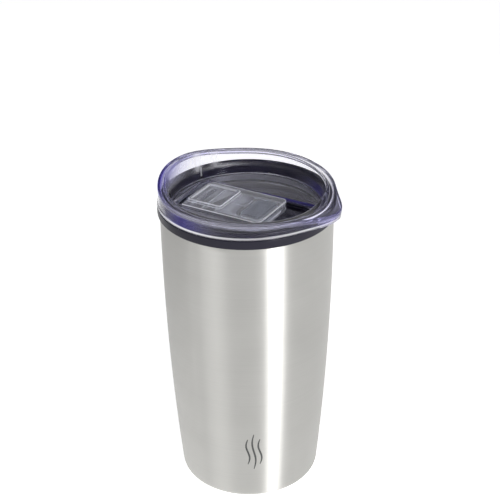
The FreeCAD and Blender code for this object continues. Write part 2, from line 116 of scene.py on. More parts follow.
BRIM_FRONT_Z, BRIM_BACK_Z = 162.3, 164.4
BRIM_RISE_DEG = 110          # angle from the spout at which the brim has risen to its back height
BRIM_DROP = 0.1              # the brim's inner edge is this much lower than its outer edge
BRIM_BAND = (2.6, 1.2)       # the brim top's middle band, in from its outer and its inner edge
BRIM_SLOPE = 0.7             # the round wall reaches the brim's inner edge this far below its top
SPOUT_REACH, SPOUT_WIDTH_DEG = 6.9, 17.0
SPOUT_INNER_REACH, SPOUT_INNER_WIDTH_DEG = 2.6, 26.0
SPOUT_DROP, SPOUT_DROP_WIDTH_DEG = 1.2, 24.0
SPOUT_OVERHANG = 0.4         # how far the spout's lip stands out over the skirt below it
TAB_HEIGHT, TAB_WIDTH_DEG, TAB_PULL_IN = 3.5, 37.0, 0.6
TAB_FLATNESS = 2.6           # above 2 the tab's top is flatter and its sides steeper than a bell curve
CHANNEL_BACK_X, CHANNEL_FRONT_X = -33.5, 33.0
CHANNEL_HALF_WIDTH = 15.2
CHANNEL_CORNER = 2.5
CHANNEL_FLOOR_Z = 147.7
CHANNEL_WALL = 1.5
CHANNEL_MARGIN = 0.7         # flat of the deck round the channel's edge
CHANNEL_REACH = 36.6         # the deck's flat round the channel ends within this radius
TROUGH_REACH = 36.5          # and the trough's outside within this one
RAIL_HALF_WIDTH = 14.4
RAIL_LOW_Z, RAIL_HIGH_Z = 149.7, 151.0
SLOT_X, SLOT_LENGTH, SLOT_WIDTH, SLOT_CORNER = 24.0, 8.6, 16.0, 3.0
RECESS_BACK_X, RECESS_TOP_Z = -36.2, 159.2   # the channel's opening in the round wall
RECESS_STEP = 0.1            # half the height of the recess's ceiling
WALL_ROWS = (1.2, 3.2, 4.4)  # heights on the round wall above the deck
VENT_X, VENT_RADIUS, VENT_SIDES = -29.5, 1.0, 24

# Slider
SLIDER_HALF_WIDTH = SLIDER_HIGH.y
SLIDER_PLATE_Z = 152.9
SLIDER_PLATE = 2.4
SLIDER_SIDE, SLIDER_FRONT_WALL = 2.5, 1.2
SLIDER_CORNER, SLIDER_BACK_CORNER, SLIDER_POCKET_CORNER = 3.2, 0.6, 1.5
SLIDER_GROOVE_DEPTH = 0.8
PLATE_BACK_INSET = 0.2
SLIDER_GROOVE_LOW_Z, SLIDER_GROOVE_HIGH_Z = 149.4, 151.3
THUMB_BACK_X, THUMB_FRONT_X, THUMB_HALF_WIDTH = -28.2, -9.0, 10.3
THUMB_EDGE, THUMB_DISH, THUMB_CORNER = 1.3, 0.9, 1.5
RIB_BACK_X, RIB_WIDTH, RIB_LIFT = (-19.0, -12.0), 1.2, 1.2
RIB_INSET = 2.3              # the ribs run a little into the runners
STOPPER_X, STOPPER_LENGTH, STOPPER_WIDTH, STOPPER_CORNER = 7.0, 12.4, 20.0, 4.0
HOLDER_WALL, HOLDER_THICKNESS, HOLDER_LIFT = 1.2, 1.1, 0.7   # reach past the stopper, and its own wall
FRAME_HEIGHT, FRAME_WIDTH, FRAME_CORNER = 0.3, 0.8, 1.6
RAISED_FRAMES = ((1.8, 12.8, 0.0, 20.6), (-7.6, 0.6, 4.0, 12.0))   # from x, to x, middle y, width

# How finely the pieces are cut
TURNS = 240                  # points round a turned piece
LONG_SIDE, SHORT_SIDE, CORNER_STEPS = 150, 70, 12   # points along the parts of a rectangular outline
ROUNDING_STEPS = 4
FOOT_STEPS, SIDE_STEPS = 10, 24   # points along the steel's foot rounding and its side
OVERLAP = 0.3                # how far joined pieces run into each other


# ---------------------------------------------------------------- outlines and lofts

def ring(angles, radius, z):
    """Points round the axis. Radius and z are numbers, or one value per angle."""
    return np.stack([radius * np.cos(angles), radius * np.sin(angles), z + 0 * angles], axis=1)


def rectangle(x0, x1, half_width, z, front_corner, back_corner=None):
    """A rectangle with rounded corners, anticlockwise from the middle of its +X side."""
    back_corner = front_corner if back_corner is None else back_corner
    half_short = SHORT_SIDE // 2
    parts = []

    def line(ax, ay, bx, by, count):
        t = np.arange(count) / count
        parts.append(np.stack([ax + (bx - ax) * t, ay + (by - ay) * t], axis=1))

    def arc(cx, cy, radius, start):
        a = math.radians(start) + np.arange(CORNER_STEPS) / CORNER_STEPS * math.pi / 2
        parts.append(np.stack([cx + radius * np.cos(a), cy + radius * np.sin(a)], axis=1))

    f, b, w = front_corner, back_corner, half_width
    line(x1, 0, x1, w - f, half_short)
    arc(x1 - f, w - f, f, 0)
    line(x1 - f, w, x0 + b, w, LONG_SIDE)
    arc(x0 + b, w - b, b, 90)
    line(x0, w - b, x0, b - w, SHORT_SIDE)
    arc(x0 + b, b - w, b, 180)
    line(x0 + b, -w, x1 - f, -w, LONG_SIDE)
    arc(x1 - f, f - w, f, 270)
    line(x1, f - w, x1, 0, half_short)
    flat = np.concatenate(parts)
    return np.column_stack([flat, np.full(len(flat), z)])


def seen_from(centre_x, outline, angles):
    """The points where rays at these angles from (centre_x, 0) meet an outline around it."""
    x, y = outline[:, 0] - centre_x, outline[:, 1]
    own = np.unwrap(np.arctan2(y, x))
    own = np.concatenate([own - 2 * math.pi, own, own + 2 * math.pi])
    distance = np.interp(angles, own, np.tile(np.hypot(x, y), 3))
    return np.stack([centre_x + distance * np.cos(angles), distance * np.sin(angles),
                     np.full(len(angles), outline[0, 2])], axis=1)


def rounded(corners, closed):
    """Rows of (points, painted glow and shade, painted highlight) for a section whose corners are (points,
    rounding, painted glow and shade, painted highlight).

    A corner may leave out its painted glow and shade and its painted highlight, which are then 0.
    """
    rows, count = [], len(corners)
    for k, (points, rounding, *rest) in enumerate(corners):
        glow_and_shade, highlight = (*rest, 0.0, 0.0)[:2]
        end_of_open = not closed and k in (0, count - 1)
        if rounding == 0 or end_of_open:
            rows.append((points, glow_and_shade, highlight))
            continue
        back = corners[k - 1][0] - points
        ahead = corners[(k + 1) % count][0] - points
        back_length = np.linalg.norm(back, axis=1, keepdims=True) + 1e-9
        ahead_length = np.linalg.norm(ahead, axis=1, keepdims=True) + 1e-9
        first = points + back / back_length * np.minimum(rounding, 0.45 * back_length)
        last = points + ahead / ahead_length * np.minimum(rounding, 0.45 * ahead_length)
        for t in np.linspace(0, 1, ROUNDING_STEPS + 1):
            rows.append(((1 - t) ** 2 * first + 2 * t * (1 - t) * points + t ** 2 * last, glow_and_shade, highlight))
    return rows


def mesh_object(name, points, faces, marks=None):
    """An object from points in millimetres, faces turned outward. Marks are named values per point."""
    mesh = bpy.data.meshes.new(name)
    mesh.from_pydata((np.asarray(points) * MM).tolist(), [], faces)
    for mark, values in (marks or {}).items():
        mesh.attributes.new(mark, "FLOAT", "POINT").data.foreach_set("value", values.astype(np.float32))
    work = bmesh.new()
    work.from_mesh(mesh)
    bmesh.ops.remove_doubles(work, verts=work.verts, dist=1e-7)
    bmesh.ops.recalc_face_normals(work, faces=work.faces)
    work.to_mesh(mesh)
    work.free()
    piece = bpy.data.objects.new(name, mesh)
    bpy.context.scene.collection.objects.link(piece)
    return piece


def loft(name, corners, closed):
    """A closed solid through its section's corners. A section that isn't closed gets flat ends."""
    rows = rounded(corners, closed)
    # Each point carries two painted marks: glow and shade, and highlight
    marks = {mark: np.concatenate([row[k] + np.zeros(len(row[0])) for row in rows])
             for k, mark in ((1, "glow_and_shade"), (2, "highlight"))}
    rows = [row[0] for row in rows]
    around = len(rows[0])
    faces = []
    for k in range(len(rows) if closed else len(rows) - 1):
        low, high = k * around, (k + 1) % len(rows) * around
        for i in range(around):
            j = (i + 1) % around
            faces.append((low + i, low + j, high + j, high + i))
    if not closed:
        faces.append(tuple(range(around))[::-1])
        faces.append(tuple((len(rows) - 1) * around + i for i in range(around)))
    return mesh_object(name, np.concatenate(rows), faces, marks)


def turned(name, corners, closed):
    """A turned piece from (radius, z, rounding) corners."""
    angles = np.arange(TURNS) * 2 * math.pi / TURNS
    return loft(name, [(ring(angles, r, z), rounding) for r, z, rounding in corners], closed)


def join_solid(piece, *others, cut=False):
    """Adds the other solids to the piece, or cuts them out of it."""
    for other in others:
        change = piece.modifiers.new("join", "BOOLEAN")
        change.operation = "DIFFERENCE" if cut else "UNION"
        change.solver = "EXACT"
        change.object = other
        bpy.context.view_layer.update()
        result = bpy.data.meshes.new_from_object(piece.evaluated_get(bpy.context.evaluated_depsgraph_get()))
        piece.modifiers.clear()
        piece.data = result
        bpy.data.objects.remove(other)


def smooth(piece, sharp_degrees=50):
    """Soft shading that keeps flat faces flat."""
    piece.data.shade_smooth()
    piece.data.set_sharp_from_angle(angle=math.radians(sharp_degrees))
    weights = piece.modifiers.new("flat_faces", "WEIGHTED_NORMAL")
    weights.keep_sharp = True
    weights.weight = 90


def arc_corners(start, middle, end, steps):
    """Unrounded corners along the circle through three (radius, z) points, without its end point."""
    (ax, ay), (bx, by), (cx, cy) = start, middle, end
    d = 2 * (ax * (by - cy) + bx * (cy - ay) + cx * (ay - by))
    a2, b2, c2 = ax * ax + ay * ay, bx * bx + by * by, cx * cx + cy * cy
    ux = (a2 * (by - cy) + b2 * (cy - ay) + c2 * (ay - by)) / d
    uy = (a2 * (cx - bx) + b2 * (ax - cx) + c2 * (bx - ax)) / d
    radius = math.hypot(ax - ux, ay - uy)
    first = math.atan2(ay - uy, ax - ux)
    turn = math.remainder(math.atan2(cy - uy, cx - ux) - first, 2 * math.pi)
    angles = [first + turn * k / steps for k in range(steps)]
    return [(ux + radius * math.cos(angle), uy + radius * math.sin(angle), 0) for angle in angles]


# ---------------------------------------------------------------- pieces

def side_profile(inset):
    """The steel wall's corners at a depth below its outer surface, from the turned-in foot to its top."""
    bottom = STEEL_LOW.z
    height = STEEL_TOP_Z - bottom - FOOT_ROUNDING
    spread = STEEL_TOP_RADIUS - STEEL_FOOT_RADIUS
    lean = math.atan(spread / height)
    tilt = lean + 2 * math.atan(2 * STEEL_BULGE / math.hypot(height, spread))
    rounding = FOOT_ROUNDING - inset
    centre_r = STEEL_FOOT_RADIUS - FOOT_ROUNDING * math.cos(tilt)
    centre_z = bottom + FOOT_ROUNDING
    foot = (centre_r + rounding * math.cos(tilt), centre_z - rounding * math.sin(tilt))
    half = (tilt + math.pi / 2) / 2
    corner = (centre_r + rounding * math.cos(half), centre_z - rounding * math.sin(half))
    under = (centre_r, bottom + inset)
    top = (STEEL_TOP_RADIUS - inset, STEEL_TOP_Z)
    middle = ((STEEL_FOOT_RADIUS + STEEL_TOP_RADIUS) / 2 + math.cos(lean) * (STEEL_BULGE - inset),
              (centre_z + STEEL_TOP_Z) / 2 - math.sin(lean) * (STEEL_BULGE - inset))
    return ([(FOOT_OPENING_RADIUS, bottom + inset, 0.15)] + arc_corners(under, corner, foot, FOOT_STEPS)
            + arc_corners(foot, middle, top, SIDE_STEPS) + [(*top, 0), (top[0], STEEL_HIGH.z, 0)])


def make_steel_wall():
    """Steel outer wall with its turned-in foot."""
    piece = turned("steel_wall", side_profile(0) + side_profile(STEEL_WALL)[::-1], closed=True)
    smooth(piece)
    return piece


def make_liner():
    """Cup, neck, collar and rim of the dark plastic liner."""
    shoulder_outside = SHOULDER_RADIUS + LINER_WALL
    low = LINER_LOW.z
    piece = turned("liner_moulding", [
        (LINER_MIDDLE, low, 0),
        (LINER_FOOT_RADIUS, low, LINER_FOOT_ROUNDING),
        (shoulder_outside, SHOULDER_Z, 1.0),
        (NECK_RADIUS, SHOULDER_Z + NECK_RISE, 1.0),
        (NECK_RADIUS, STEEL_HIGH.z, 0.1),
        (COLLAR_GROOVE_RADIUS, STEEL_HIGH.z, 0.1),
        (COLLAR_GROOVE_RADIUS, STEEL_TOP_Z, 0.1),
        (COLLAR_RADIUS, STEEL_TOP_Z, 0.7),
        (COLLAR_RADIUS, COLLAR_STEP_Z, 0.6),
        (RIM_RADIUS, COLLAR_STEP_Z, 0.3),
        (RIM_RADIUS, LINER_HIGH.z, 0.6),
        (MOUTH_RADIUS, LINER_HIGH.z, 0.8),
        (MOUTH_RADIUS, MOUTH_BOTTOM_Z, 1.0),
        (SHOULDER_RADIUS, SHOULDER_Z, 1.0),
        (LINER_CUP_RADIUS, LINER_FLOOR_Z, LINER_FLOOR_ROUNDING),
        (LINER_MIDDLE, LINER_FLOOR_Z, 0),
    ], closed=False)
    smooth(piece)
    return piece


def swell(degrees, width, power=2.0):
    """1 at angle 0, falling smoothly to 0 beyond about twice the width."""
    return np.exp(-((np.abs(degrees) / width) ** power))


def near(degrees, middle, width):
    """1 at the middle angle, falling to 0 beyond about twice the width, going round past 180."""
    return swell((degrees - middle + 180) % 360 - 180, width)


def spots(degrees, base, *places):
    """A mark that is base all round, with (strength, middle, width) added at some places."""
    return base + sum(strength * near(degrees, middle, width) for strength, middle, width in places)


def lid_shape(degrees):
    """Brim top, brim outer and inner radius, and spout share, at angles from +X."""
    spout = swell(degrees, SPOUT_WIDTH_DEG)
    tab = swell(180 - np.abs(degrees), TAB_WIDTH_DEG, TAB_FLATNESS)
    rise = (1 - np.cos(math.pi * np.minimum(np.abs(degrees) / BRIM_RISE_DEG, 1))) / 2
    top = (BRIM_FRONT_Z + (BRIM_BACK_Z - BRIM_FRONT_Z) * rise
           - SPOUT_DROP * swell(degrees, SPOUT_DROP_WIDTH_DEG) + TAB_HEIGHT * tab)
    outer = BRIM_RADIUS + SPOUT_REACH * spout - TAB_PULL_IN * tab
    inner = BRIM_INNER_RADIUS - SPOUT_INNER_REACH * swell(degrees, SPOUT_INNER_WIDTH_DEG)
    return top, outer, inner, spout


def channel_outline(half_width, z, margin=0.0):
    """The slider channel's outline, or one that runs outside it by a margin."""
    return rectangle(CHANNEL_BACK_X - margin, CHANNEL_FRONT_X + margin, half_width + margin, z,
                     CHANNEL_CORNER + margin)


def kept_within(points, radius):
    """Points pulled in to a radius where they lie outside it."""
    distance = np.hypot(points[:, 0], points[:, 1])
    scale = np.minimum(1, radius / distance)
    return points * np.stack([scale, scale, np.ones(len(scale))], axis=1)


def make_lid():
    """The whole clear moulding: one section that runs round through the drinking slot."""
    edge = channel_outline(CHANNEL_HALF_WIDTH, DECK_TOP_Z)
    angles = np.arctan2(edge[:, 1], edge[:, 0])
    degrees = np.degrees(angles)
    top, outer, inner, spout = lid_shape(degrees)
    roof = top - BRIM_THICKNESS
    skirt = SKIRT_RADIUS + (BRIM_RADIUS + SPOUT_REACH - SKIRT_RADIUS - SPOUT_OVERHANG) * spout
    floor_edge = channel_outline(CHANNEL_HALF_WIDTH, CHANNEL_FLOOR_Z)
    slot_angles = np.unwrap(np.arctan2(floor_edge[:, 1], floor_edge[:, 0] - SLOT_X))

    def slot(z):
        """The drinking slot's edge, point for point with the channel's."""
        half = SLOT_LENGTH / 2
        outline = rectangle(SLOT_X - half, SLOT_X + half, SLOT_WIDTH / 2, z, SLOT_CORNER)
        return seen_from(SLOT_X, outline, slot_angles)

    trough_floor_z = CHANNEL_FLOOR_Z - CHANNEL_WALL
    at_back = (np.cos(angles) < 0) & (np.abs(DECK_RADIUS * np.sin(angles)) < CHANNEL_HALF_WIDTH)
    recess = -RECESS_BACK_X / np.maximum(-np.cos(angles), 0.5)

    def wall(z, recessed):
        """The round wall from deck to brim, pushed out to the recess where the channel runs into it."""
        radius = DECK_RADIUS + (inner - DECK_RADIUS) * (z - DECK_TOP_Z) / (top - BRIM_SLOPE - DECK_TOP_Z)
        if recessed:
            radius = np.where(at_back, np.maximum(radius, recess), radius)
        return ring(angles, radius, z)

    def deck(share):
        """The deck's rim at 0, and the channel's edge at 1."""
        rim = ring(angles, DECK_RADIUS - DECK_RIM_INSET, DECK_TOP_Z)
        beside = channel_outline(CHANNEL_HALF_WIDTH, DECK_TOP_Z, CHANNEL_MARGIN)
        return rim + share * (kept_within(beside, CHANNEL_REACH) - rim)

    def trough_side(z):
        """The outside of the channel's walls, under the deck."""
        return kept_within(channel_outline(CHANNEL_HALF_WIDTH, z, CHANNEL_WALL), TROUGH_REACH)

    # Painted glow and painted highlights, stronger along some edges than others: (strength, middle and width in
    # degrees)
    channel_glow = np.where((edge[:, 0] > 0) & (edge[:, 1] > 0), 1.0, 0.35)
    channel_highlight = spots(degrees, 0.05, (0.35, -150, 25))
    skirt_glow = spots(degrees, 0, (0.95, -104, 26), (0.4, -15, 20))
    brim_glow = spots(degrees, 0.35, (0.3, 160, 40), (0.7, -150, 30), (0.35, 0, 34))
    lobe_glow = spots(degrees, 0, (0.85, -152, 32), (0.45, -5, 34))
    wall_glow = spots(degrees, 0, (0.95, 50, 26))
    step_highlight = 0.8 * (at_back != np.roll(at_back, 1))
    wall_highlight = np.maximum(step_highlight, spots(degrees, 0.05, (0.35, 138, 14)))
    tab_glow = spots(degrees, 0, (0.5, -166, 22))
    tab_highlight = spots(degrees, 0, (0.3, -168, 20), (0.55, 160, 3.5), (0.35, 145, 4))
    rim_highlight = spots(degrees, 0.25, (0.4, 125, 30))
    # The deck gets a faint painted sheen all over and rings of painted highlight
    haze_and_sheen = spots(degrees, 0.03, (0.09, 115, 50))
    deck_highlights = ((0.05, haze_and_sheen), (0.15, haze_and_sheen), (0.2, 0.15), (0.25, haze_and_sheen), (0.42, haze_and_sheen), (0.46, 0.12),
                  (0.5, haze_and_sheen), (1, haze_and_sheen))
    bead_highlight = spots(degrees, 0.35, (0.65, -110, 35), (0.2, -25, 20))
    neck = skirt - SKIRT_NECK
    underside = SKIRT_BOTTOM_Z + spout
    piece = loft("lid_moulding", [
        # Channel with its rails, then the slot, the trough's outside and the deck's underside
        (edge, 0.5, channel_glow, channel_highlight),
        (channel_outline(CHANNEL_HALF_WIDTH, RAIL_HIGH_Z), 0.1, channel_glow * 0.5),
        (channel_outline(RAIL_HALF_WIDTH, RAIL_HIGH_Z), 0.2),
        (channel_outline(RAIL_HALF_WIDTH, RAIL_LOW_Z), 0.2),
        (channel_outline(CHANNEL_HALF_WIDTH, RAIL_LOW_Z), 0.1),
        (floor_edge, 0.5),
        (slot(CHANNEL_FLOOR_Z), 0.4, 0.5),
        (slot(trough_floor_z), 0.3),
        (trough_side(trough_floor_z), 0.8),
        (trough_side(DECK_BOTTOM_Z), 0.15),
        (ring(angles, PLUG_INNER_RADIUS, DECK_BOTTOM_Z), 0.15),
        # Plug with the gasket's groove
        (ring(angles, PLUG_INNER_RADIUS, PLUG_BOTTOM_Z), 0.4),
        (ring(angles, PLUG_RADIUS - PLUG_LEAD_IN, PLUG_BOTTOM_Z), 0.5),
        (ring(angles, PLUG_RADIUS - PLUG_LEAD_IN, GROOVE_LOW_Z), 0.15),
        (ring(angles, GROOVE_RADIUS, GROOVE_LOW_Z), 0.15),
        (ring(angles, GROOVE_RADIUS, GROOVE_HIGH_Z), 0.15),
        (ring(angles, PLUG_RADIUS, GROOVE_HIGH_Z), 0.15),
        (ring(angles, PLUG_RADIUS, roof), 0.6),
        # Skirt with the bead along its lower edge
        (ring(angles, SKIRT_INNER_RADIUS - SKIRT_DRAFT, roof), 0.6),
        (ring(angles, SKIRT_INNER_RADIUS, SKIRT_BOTTOM_Z), 0.2),
        (ring(angles, skirt, underside), 0.45),
        (ring(angles, skirt, underside + BEAD_HEIGHT * 0.45), 0, 0, bead_highlight * 0.5),
        (ring(angles, skirt, underside + BEAD_HEIGHT), 0.4, 0, bead_highlight),
        (ring(angles, neck, underside + BEAD_HEIGHT + 0.5), 0.4, skirt_glow),
        (ring(angles, neck, top - LIP_HEIGHT - 0.5), 0.4, skirt_glow),
        # Brim
        (ring(angles, outer, top - LIP_HEIGHT), 0.4, brim_glow, 0.1),
        (ring(angles, outer, top), 0.6, brim_glow),
        (ring(angles, outer - BRIM_BAND[0], top - 0.3 * BRIM_DROP), 0, lobe_glow),
        (ring(angles, inner + BRIM_BAND[1], top - 0.7 * BRIM_DROP), 0, lobe_glow * 0.6),
        (ring(angles, inner, top - BRIM_DROP), 0.5, lobe_glow + tab_glow, 0.1 + tab_highlight),
        # Round wall above the deck, where extra rows carry the marks
        (wall(RECESS_TOP_Z + RECESS_STEP, False), 0, tab_glow, tab_highlight),
        (wall(RECESS_TOP_Z - RECESS_STEP, True), 0, tab_glow, np.maximum(tab_highlight, step_highlight)),
        (wall(DECK_TOP_Z + WALL_ROWS[2], True), 0, 0, np.maximum(tab_highlight * 0.6, wall_highlight)),
        (wall(DECK_TOP_Z + WALL_ROWS[1], True), 0, wall_glow, step_highlight),
        (wall(DECK_TOP_Z + WALL_ROWS[0], True), 0, wall_glow, step_highlight),
        (wall(DECK_TOP_Z, True), 0.7, wall_glow),
        (deck(0), 0, 0.3, rim_highlight),
        *((deck(share), 0, 0, highlight) for share, highlight in deck_highlights),
    ], closed=True)
    drill_angles = np.arange(VENT_SIDES) * 2 * math.pi / VENT_SIDES
    below = DECK_BOTTOM_Z - 8
    hole = [ring(drill_angles, VENT_RADIUS, z) + np.array([VENT_X, 0, 0]) for z in (below, DECK_TOP_Z)]
    join_solid(piece, loft("vent_drill", [(points, 0) for points in hole], closed=False), cut=True)
    smooth(piece)
    return piece


def slider_outline(half_width, z):
    """The slider's whole outline at a height."""
    return rectangle(SLIDER_LOW.x, SLIDER_HIGH.x, half_width, z, SLIDER_CORNER, SLIDER_BACK_CORNER)


def block(name, x0, x1, half_width, z0, z1, corner, rounding):
    """A small block with rounded upright corners and softened edges."""
    def end(z, inset=0.5):
        """A corner row inside the block's outline, which its flat end starts from."""
        return rectangle(x0 + inset, x1 - inset, half_width - inset, z, max(corner - inset, 0.2)), 0

    sides = [(rectangle(x0, x1, half_width, z, corner), rounding) for z in (z0, z1)]
    return loft(name, [end(z0), *sides, end(z1)], closed=False)


def frame_block(name, x0, x1, half_width, thickness, z0, z1, corner, rounding, middle_y=0.0, highlight=0.0):
    """A rectangular frame standing on its edge, with a painted highlight along its top."""
    aside = np.array([0, middle_y, 0])

    def corner_row(inset, z, own_corner):
        """One edge of the frame."""
        outline = rectangle(x0 + inset, x1 - inset, half_width - inset, z, own_corner)
        return outline + aside, rounding, 0, highlight * (z == z1)

    outer = [corner_row(0, z, corner) for z in (z0, z1)]
    inner = [corner_row(thickness, z, max(corner - thickness, 0.3)) for z in (z1, z0)]
    return loft(name, outer + inner, closed=True)


def make_slider():
    """Plate on two grooved runners, with the dished thumb block, stopper holder and ribs."""
    low, top, thumb_z = SLIDER_LOW.z, SLIDER_PLATE_Z, SLIDER_HIGH.z
    wide, narrow = SLIDER_HALF_WIDTH, SLIDER_HALF_WIDTH - SLIDER_GROOVE_DEPTH
    dish_z = thumb_z - THUMB_DISH
    edge = THUMB_EDGE

    def thumb(inset, z):
        """The thumb block's outline, or one inside it."""
        corner = max(THUMB_CORNER - inset * 0.5, 0.4)
        return rectangle(THUMB_BACK_X + inset, THUMB_FRONT_X - inset, THUMB_HALF_WIDTH - inset, z, corner)

    # The thumb's front edge gets a painted shade stripe instead of a painted highlight
    in_front = (thumb(0, 0)[:, 0] > THUMB_FRONT_X - 1.0).astype(float)

    def plate(inset, z):
        """An outline just inside the plate's edge."""
        return rectangle(SLIDER_LOW.x + PLATE_BACK_INSET, SLIDER_HIGH.x - inset, wide - inset, z,
                         SLIDER_CORNER - inset, SLIDER_BACK_CORNER - PLATE_BACK_INSET)

    def pocket(inset, z):
        """The hollow between the runners, under the plate."""
        return rectangle(SLIDER_LOW.x + SLIDER_SIDE + inset, SLIDER_HIGH.x - SLIDER_FRONT_WALL - inset,
                         wide - SLIDER_SIDE - inset, z, SLIDER_POCKET_CORNER)

    # Rows carry painted highlights along the edges of the thumb block, the plate and the grooves
    piece = loft("slider_moulding", [
        # Thumb block, from the middle of its dish outward and down
        (thumb(edge + 1.4, dish_z), 0, 0, 0.1),
        (thumb(edge + 0.7, dish_z), 0, 0, 0.1),
        (thumb(edge + 0.2, dish_z), 0.3, 0, 0.1),
        (thumb(edge, thumb_z), 0.2, 0.9 * in_front, 0.5 - 0.5 * in_front),
        (thumb(0.9, thumb_z), 0, 0.9 * in_front),
        (thumb(0.5, thumb_z), 0),
        (thumb(0, thumb_z), 0.3, 0, 1.0),
        (thumb(-0.02, thumb_z - 0.5), 0),
        (thumb(-0.08, top + 0.4), 0),
        (thumb(-0.1, top), 0.2, 0, 0.5),
        # Plate, grooved sides and the pocket underneath
        (thumb(-0.8, top), 0, 0, 0.07),
        (plate(0.7, top), 0, 0, 0.07),
        (slider_outline(wide, top), 0.4, 0, 1.0),
        (slider_outline(wide, top - 0.7), 0),
        (slider_outline(wide, SLIDER_GROOVE_HIGH_Z), 0.15, 0, 0.15),
        (slider_outline(narrow, SLIDER_GROOVE_HIGH_Z), 0.1),
        (slider_outline(narrow, SLIDER_GROOVE_LOW_Z), 0.1),
        (slider_outline(wide, SLIDER_GROOVE_LOW_Z), 0.15, 0, 0.15),
        (slider_outline(wide, low), 0.3),
        (pocket(0, low), 0.3),
        (pocket(0.1, top - SLIDER_PLATE), 0.4),
        (pocket(0.6, top - SLIDER_PLATE), 0),
    ], closed=False)
    plate_z = top - SLIDER_PLATE
    half_length, half_width = STOPPER_LENGTH / 2 + HOLDER_WALL, STOPPER_WIDTH / 2 + HOLDER_WALL
    holder = frame_block("holder", STOPPER_X - half_length, STOPPER_X + half_length, half_width,
                         HOLDER_THICKNESS, low + HOLDER_LIFT, plate_z + OVERLAP,
                         STOPPER_CORNER + HOLDER_WALL, 0.2)
    ribs = [block("rib", x, x + RIB_WIDTH, wide - RIB_INSET, low + RIB_LIFT, plate_z + OVERLAP, 0.3, 0.15)
            for x in RIB_BACK_X]
    raised = [frame_block("raised_frame", x0, x1, width / 2, FRAME_WIDTH, top - 0.5, top + FRAME_HEIGHT,
                          FRAME_CORNER, 0.15, middle_y, 1.0) for x0, x1, middle_y, width in RAISED_FRAMES]
    join_solid(piece, holder, *ribs, *raised)
    smooth(piece)
    return piece


# ---------------------------------------------------------------- materials

class Nodes:
    """A new material with a Principled shader and short ways to add nodes to it."""

    def __init__(self, name):
        self.material = bpy.data.materials.new(name)
        self.material.use_nodes = True
        self.tree = self.material.node_tree
        self.shader = self.tree.nodes["Principled BSDF"]
        self.output = self.tree.nodes["Material Output"]
        self.coordinates = self.add("ShaderNodeTexCoord").outputs["Object"]

    def add(self, kind, **settings):
        """A new node of a kind, with its settings."""
        node = self.tree.nodes.new(kind)
        for name, value in settings.items():
            setattr(node, name, value)
        return node

    def link(self, source, target):
        self.tree.links.new(source, target)

    def set(self, **values):
        """Constants on the shader's own sockets."""
        for name, value in values.items():
            self.shader.inputs[name.replace("_", " ")].default_value = value

    def noise(self, scale, stretch=(1, 1, 1), detail=4.0, roughness=0.55):
        """A noise pattern's value. Scale is in repeats per metre along an unstretched axis."""
        mapping = self.add("ShaderNodeMapping")
        mapping.inputs["Scale"].default_value = stretch
        self.link(self.coordinates, mapping.inputs["Vector"])
        texture = self.add("ShaderNodeTexNoise")
        texture.inputs["Scale"].default_value = scale
        texture.inputs["Detail"].default_value = detail
        texture.inputs["Roughness"].default_value = roughness
        self.link(mapping.outputs["Vector"], texture.inputs["Vector"])
        return texture.outputs["Fac"]

    def range(self, value, low, high, at_low=0.3, at_high=0.7):
        """The pattern's value mapped to a range."""
        node = self.add("ShaderNodeMapRange")
        node.inputs["From Min"].default_value = at_low
        node.inputs["From Max"].default_value = at_high
        node.inputs["To Min"].default_value = low
        node.inputs["To Max"].default_value = high
        self.link(value, node.inputs["Value"])
        return node.outputs["Result"]

    def colours(self, value, dark, light):
        """The pattern's value as a colour between two."""
        node = self.add("ShaderNodeMix", data_type="RGBA")
        self.link(value, node.inputs["Factor"])
        node.inputs["A"].default_value = (*dark, 1)
        node.inputs["B"].default_value = (*light, 1)
        return node.outputs["Result"]

    def colour(self, value, dark, light):
        """Colours the surface by a pattern."""
        self.link(self.colours(value, dark, light), self.shader.inputs["Base Color"])

    def roughness(self, value, low, high):
        """Roughens the surface by a pattern."""
        self.link(self.range(value, low, high), self.shader.inputs["Roughness"])

    def bump(self, value, distance_mm, strength=1.0):
        """Raises the surface by a pattern."""
        node = self.add("ShaderNodeBump")
        node.inputs["Distance"].default_value = distance_mm * MM
        node.inputs["Strength"].default_value = strength
        self.link(value, node.inputs["Height"])
        self.link(node.outputs["Normal"], self.shader.inputs["Normal"])


def brushed_steel():
    """Stainless steel polished round the axis: fine rings, blurred up and down more than sideways."""
    m = Nodes("brushed_steel")
    rings = m.noise(1.0, (14, 14, 2600), detail=5, roughness=0.7)
    broad = m.noise(1.0, (30, 30, 60), detail=3)
    m.set(Metallic=1.0, Anisotropic=1.0, Anisotropic_Rotation=0.25)
    m.colour(m.range(rings, 0, 1), (0.575, 0.570, 0.548), (0.605, 0.600, 0.578))
    m.roughness(broad, 0.40, 0.43)
    m.bump(rings, 0.001, 0.4)
    tangent = m.add("ShaderNodeTangent", direction_type="RADIAL", axis="Z")
    m.link(tangent.outputs["Tangent"], m.shader.inputs["Tangent"])
    return m.material


def pressed_steel():
    """Plain rolled stainless sheet of the base plate."""
    m = Nodes("pressed_steel")
    grain = m.noise(900, detail=5)
    m.set(Metallic=1.0)
    m.colour(grain, (0.42, 0.415, 0.41), (0.52, 0.515, 0.51))
    m.roughness(grain, 0.3, 0.42)
    m.bump(grain, 0.01, 0.5)
    return m.material


def liner_plastic():
    """Satin moulded polypropylene, nearly black navy."""
    m = Nodes("liner_plastic")
    grain = m.noise(2600, detail=3)
    cloud = m.noise(60, detail=3)
    m.set(Specular_IOR_Level=0.2)
    m.colour(cloud, (0.010, 0.009, 0.018), (0.014, 0.013, 0.024))
    m.roughness(cloud, 0.30, 0.38)
    m.bump(grain, 0.012, 0.5)
    return m.material


